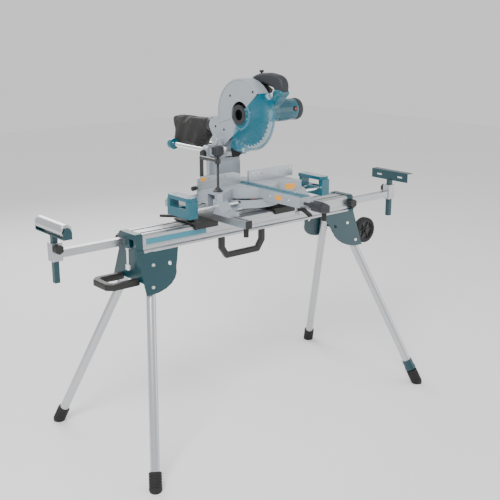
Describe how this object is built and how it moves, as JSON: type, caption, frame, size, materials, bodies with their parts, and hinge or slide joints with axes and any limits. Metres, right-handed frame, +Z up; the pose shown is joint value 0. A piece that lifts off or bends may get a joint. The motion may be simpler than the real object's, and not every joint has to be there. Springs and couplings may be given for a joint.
{
  "type": "mitre saw on folding stand",
  "caption": "Sliding compound mitre saw with side supports, vise and dust bag, bolted on a folding four-leg stand with extension arms, roller, end stop and wheels.",
  "frame": {"origin": "on the floor, under the middle of the object", "axes": "+X along the beam to the operator's right, +Y to the rear, +Z up"},
  "size_m": [1.7685, 0.936, 1.424],
  "materials": {
    "beam_aluminium": "brushed, anodised",
    "leg_aluminium": "satin",
    "cast_aluminium": "light blue-grey lacquer on a casting",
    "stand_teal": "dark teal powder coat",
    "saw_teal": "teal moulded plastic, semi-gloss",
    "board_teal": "teal kerf boards",
    "black_plastic": "black, fine grain",
    "grey_rubber": "dark grey soft grip",
    "black_rubber": "matt black",
    "chrome": "polished",
    "steel": "bright steel",
    "blackened_steel": "black enamel",
    "clear_guard": "clear tinted polycarbonate",
    "bag_fabric": "dark warm grey nylon cloth",
    "fence_aluminium": "machined face"
  },
  "bodies": {
    "stand": {"stand_beam": "beam_aluminium", "leg_bracket_left": "stand_teal", "leg_bracket_right": "stand_teal", "leg_bolts": "chrome", "carry_handle": "black_plastic", "end_handle": "black_plastic", "wheel_brackets": "stand_teal"},
    "wheel_front": {"wheel_front": "black_rubber"},
    "wheel_rear": {"wheel_rear": "black_rubber"},
    "end_lock_lever": {"end_lock_lever": "chrome"},
    "leg_front_left": {"leg_front_left": "leg_aluminium"},
    "leg_rear_left": {"leg_rear_left": "leg_aluminium"},
    "leg_front_right": {"leg_front_right": "leg_aluminium"},
    "leg_rear_right": {"leg_rear_right": "leg_aluminium"},
    "levelling_foot": {"levelling_foot": "black_rubber"},
    "arm_left": {"arm_left": "beam_aluminium"},
    "arm_right": {"arm_right": "beam_aluminium"},
    "arm_knob_left": {"arm_knob_left": "black_plastic"},
    "arm_knob_right": {"arm_knob_right": "black_plastic"},
    "post_knob_left": {"post_knob_left": "black_plastic"},
    "post_knob_right": {"post_knob_right": "black_plastic"},
    "roller_post": {"roller_post": "stand_teal"},
    "roller": {"roller": "steel"},
    "stop_post": {"stop_post": "stand_teal"},
    "saw_base": {"mount_rails": "beam_aluminium", "mount_carriages": "beam_aluminium", "rail_end_feet": "black_rubber", "mount_bolts": "chrome", "saw_base": "cast_aluminium", "fence_left": "fence_aluminium", "fence_right": "fence_aluminium"},
    "cam_lever_left": {"cam_lever_left": "black_plastic"},
    "cam_lever_right": {"cam_lever_right": "black_plastic"},
    "sub_fence": {"sub_fence": "fence_aluminium"},
    "sub_fence_knob": {"sub_fence_knob": "black_plastic"},
    "sub_base_left": {"sub_base_left": "saw_teal"},
    "sub_base_right": {"sub_base_right": "saw_teal"},
    "vise_arm": {"vise_arm": "blackened_steel"},
    "vise_screw": {"vise_screw": "grey_rubber"},
    "turntable": {"turntable": "cast_aluminium", "kerf_boards": "board_teal"},
    "mitre_grip": {"mitre_grip": "grey_rubber"},
    "mitre_lock_lever": {"mitre_lock_lever": "black_plastic"},
    "bevel_frame": {"bevel_frame": "cast_aluminium"},
    "slide_lock_knob": {"slide_lock_knob": "black_plastic"},
    "carriage": {"slide_rods": "chrome", "pivot_bracket": "cast_aluminium", "pivot_pin": "steel"},
    "head": {"blade_case": "cast_aluminium", "motor_housing": "saw_teal", "motor_end_cap": "grey_rubber", "main_handle": "saw_teal", "dust_bag": "bag_fabric", "dust_flap": "black_rubber"},
    "trigger": {"trigger": "black_plastic"},
    "lock_off_button": {"lock_off_button": "black_plastic"},
    "lower_guard": {"lower_guard": "clear_guard"},
    "blade": {"saw_blade": "steel", "blade_spindle": "steel"},
    "armature": {"motor_armature": "steel"}
  },
  "joints": [
    {"name": "fold_leg_front_left", "type": "hinge", "parent": "stand", "child": "leg_front_left", "pos_m": [-0.518, -0.08213, 0.73681], "axis": [0, -0.9239, 0.3827], "range_deg": [0, 92]},
    {"name": "fold_leg_rear_left", "type": "hinge", "parent": "stand", "child": "leg_rear_left", "pos_m": [-0.518, 0.08213, 0.73681], "axis": [0, -0.9239, -0.3827], "range_deg": [0, 92]},
    {"name": "fold_leg_front_right", "type": "hinge", "parent": "stand", "child": "leg_front_right", "pos_m": [0.518, -0.08213, 0.73681], "axis": [0, 0.9239, -0.3827], "range_deg": [0, 58]},
    {"name": "level_foot", "type": "slide", "parent": "leg_front_right", "child": "levelling_foot", "axis": [0.2504, -0.3705, -0.8945], "range_m": [0, 0.02]},
    {"name": "fold_leg_rear_right", "type": "hinge", "parent": "stand", "child": "leg_rear_right", "pos_m": [0.518, 0.08213, 0.73681], "axis": [0, 0.9239, 0.3827], "range_deg": [0, 58]},
    {"name": "spin_wheel_front", "type": "hinge", "parent": "stand", "child": "wheel_front", "pos_m": [0.64, -0.072, 0.684], "axis": [0, 1, 0], "continuous": true},
    {"name": "spin_wheel_rear", "type": "hinge", "parent": "stand", "child": "wheel_rear", "pos_m": [0.64, 0.072, 0.684], "axis": [0, 1, 0], "continuous": true},
    {"name": "turn_end_lock_lever", "type": "hinge", "parent": "stand", "child": "end_lock_lever", "pos_m": [-0.585, -0.03, 0.802], "axis": [-1, 0, 0], "range_deg": [0, 80]},
    {"name": "extend_arm_left", "type": "slide", "parent": "stand", "child": "arm_left", "axis": [-1, 0, 0], "range_m": [-0.22, 0.35]},
    {"name": "turn_arm_knob_left", "type": "hinge", "parent": "stand", "child": "arm_knob_left", "pos_m": [-0.56, 0.059, 0.818], "axis": [0, 1, 0], "range_deg": [0, 360]},
    {"name": "turn_post_knob_left", "type": "hinge", "parent": "arm_left", "child": "post_knob_left", "pos_m": [-0.858, 0.009, 0.841], "axis": [0, 1, 0], "range_deg": [0, 360]},
    {"name": "extend_arm_right", "type": "slide", "parent": "stand", "child": "arm_right", "axis": [1, 0, 0], "range_m": [-0.22, 0.35]},
    {"name": "turn_arm_knob_right", "type": "hinge", "parent": "stand", "child": "arm_knob_right", "pos_m": [0.56, -0.059, 0.818], "axis": [0, 1, 0], "range_deg": [0, 360]},
    {"name": "turn_post_knob_right", "type": "hinge", "parent": "arm_right", "child": "post_knob_right", "pos_m": [0.858, -0.009, 0.841], "axis": [0, 1, 0], "range_deg": [0, 360]},
    {"name": "raise_roller", "type": "slide", "parent": "arm_left", "child": "roller_post", "axis": [0, 0, 1], "range_m": [-0.012, 0.08]},
    {"name": "spin_roller", "type": "hinge", "parent": "roller_post", "child": "roller", "pos_m": [-0.858, 0.027, 0.92], "axis": [0, 1, 0], "continuous": true},
    {"name": "raise_stop", "type": "slide", "parent": "arm_right", "child": "stop_post", "axis": [0, 0, 1], "range_m": [-0.012, 0.08]},
    {"name": "shift_saw", "type": "slide", "parent": "stand", "child": "saw_base", "axis": [1, 0, 0], "range_m": [-0.12, 0.12]},
    {"name": "swing_cam_lever_left", "type": "hinge", "parent": "saw_base", "child": "cam_lever_left", "pos_m": [-0.29, -0.009, 0.875], "axis": [0, 0, 1], "range_deg": [0, 80]},
    {"name": "swing_cam_lever_right", "type": "hinge", "parent": "saw_base", "child": "cam_lever_right", "pos_m": [0.122, -0.009, 0.875], "axis": [0, 0, 1], "range_deg": [0, 80]},
    {"name": "slide_sub_fence", "type": "slide", "parent": "saw_base", "child": "sub_fence", "axis": [-1, 0, 0], "range_m": [0, 0.08]},
    {"name": "turn_sub_fence_knob", "type": "hinge", "parent": "saw_base", "child": "sub_fence_knob", "pos_m": [-0.245, 0.028, 0.9742], "axis": [1, 0, 0], "range_deg": [0, 360]},
    {"name": "extend_sub_base_left", "type": "slide", "parent": "saw_base", "child": "sub_base_left", "axis": [-1, 0, 0], "range_m": [-0.05, 0.08]},
    {"name": "extend_sub_base_right", "type": "slide", "parent": "saw_base", "child": "sub_base_right", "axis": [1, 0, 0], "range_m": [-0.05, 0.08]},
    {"name": "swing_vise_arm", "type": "hinge", "parent": "saw_base", "child": "vise_arm", "pos_m": [-0.192, 0.046, 0.95], "axis": [0, 0, 1], "range_deg": [-60, 0]},
    {"name": "turn_vise_screw", "type": "slide", "parent": "vise_arm", "child": "vise_screw", "axis": [0, 0, 1], "range_m": [0, 0.04]},
    {"name": "mitre", "type": "hinge", "parent": "saw_base", "child": "turntable", "pos_m": [0, 0.012, 0.97], "axis": [0, 0, 1], "range_deg": [-45, 45]},
    {"name": "turn_mitre_grip", "type": "hinge", "parent": "turntable", "child": "mitre_grip", "pos_m": [0, -0.388, 0.942], "axis": [0, 1, 0], "range_deg": [0, 360]},
    {"name": "press_mitre_lock", "type": "hinge", "parent": "turntable", "child": "mitre_lock_lever", "pos_m": [0, -0.322, 0.915], "axis": [1, 0, 0], "range_deg": [0, 6], "stiffness_Nm_per_rad": 1.5, "springref_deg": -5.73},
    {"name": "bevel", "type": "hinge", "parent": "turntable", "child": "bevel_frame", "pos_m": [0, 0.137, 0.97], "axis": [0, 1, 0], "range_deg": [-30, 5]},
    {"name": "turn_slide_lock", "type": "hinge", "parent": "bevel_frame", "child": "slide_lock_knob", "pos_m": [-0.092, 0.168, 1.08], "axis": [1, 0, 0], "range_deg": [0, 360]},
    {"name": "slide_head", "type": "slide", "parent": "bevel_frame", "child": "carriage", "axis": [0, -1, 0], "range_m": [0, 0.225]},
    {"name": "lower_head", "type": "hinge", "parent": "carriage", "child": "head", "pos_m": [0, 0.122, 1.136], "axis": [1, 0, 0], "range_deg": [0, 54], "stiffness_Nm_per_rad": 22, "springref_deg": -74.48, "deforming": ["dust_flap"]},
    {"name": "lift_guard", "type": "hinge", "parent": "head", "child": "lower_guard", "pos_m": [0, -0.01, 1.251], "axis": [1, 0, 0], "range_deg": [-120, 0]},
    {"name": "blade_spin", "type": "hinge", "parent": "head", "child": "blade", "pos_m": [0, -0.01, 1.251], "axis": [1, 0, 0], "continuous": true},
    {"name": "armature_spin", "type": "hinge", "parent": "head", "child": "armature", "pos_m": [0.1, -0.05, 1.261], "axis": [1, 0, 0], "continuous": true},
    {"name": "squeeze_trigger", "type": "hinge", "parent": "head", "child": "trigger", "pos_m": [0.038, -0.054, 1.376], "axis": [-1, 0, 0], "range_deg": [0, 8], "stiffness_Nm_per_rad": 0.6, "springref_deg": -8.59},
    {"name": "press_lock_off", "type": "slide", "parent": "head", "child": "lock_off_button", "axis": [0, 0, -1], "range_m": [0, 0.004], "stiffness_N_per_m": 400, "springref_m": -0.003}
  ],
  "couplings": [
    {"joint": "lift_guard", "follows": "lower_head", "ratio": -2.2},
    {"joint": "armature_spin", "follows": "blade_spin", "ratio": -4}
  ]
}
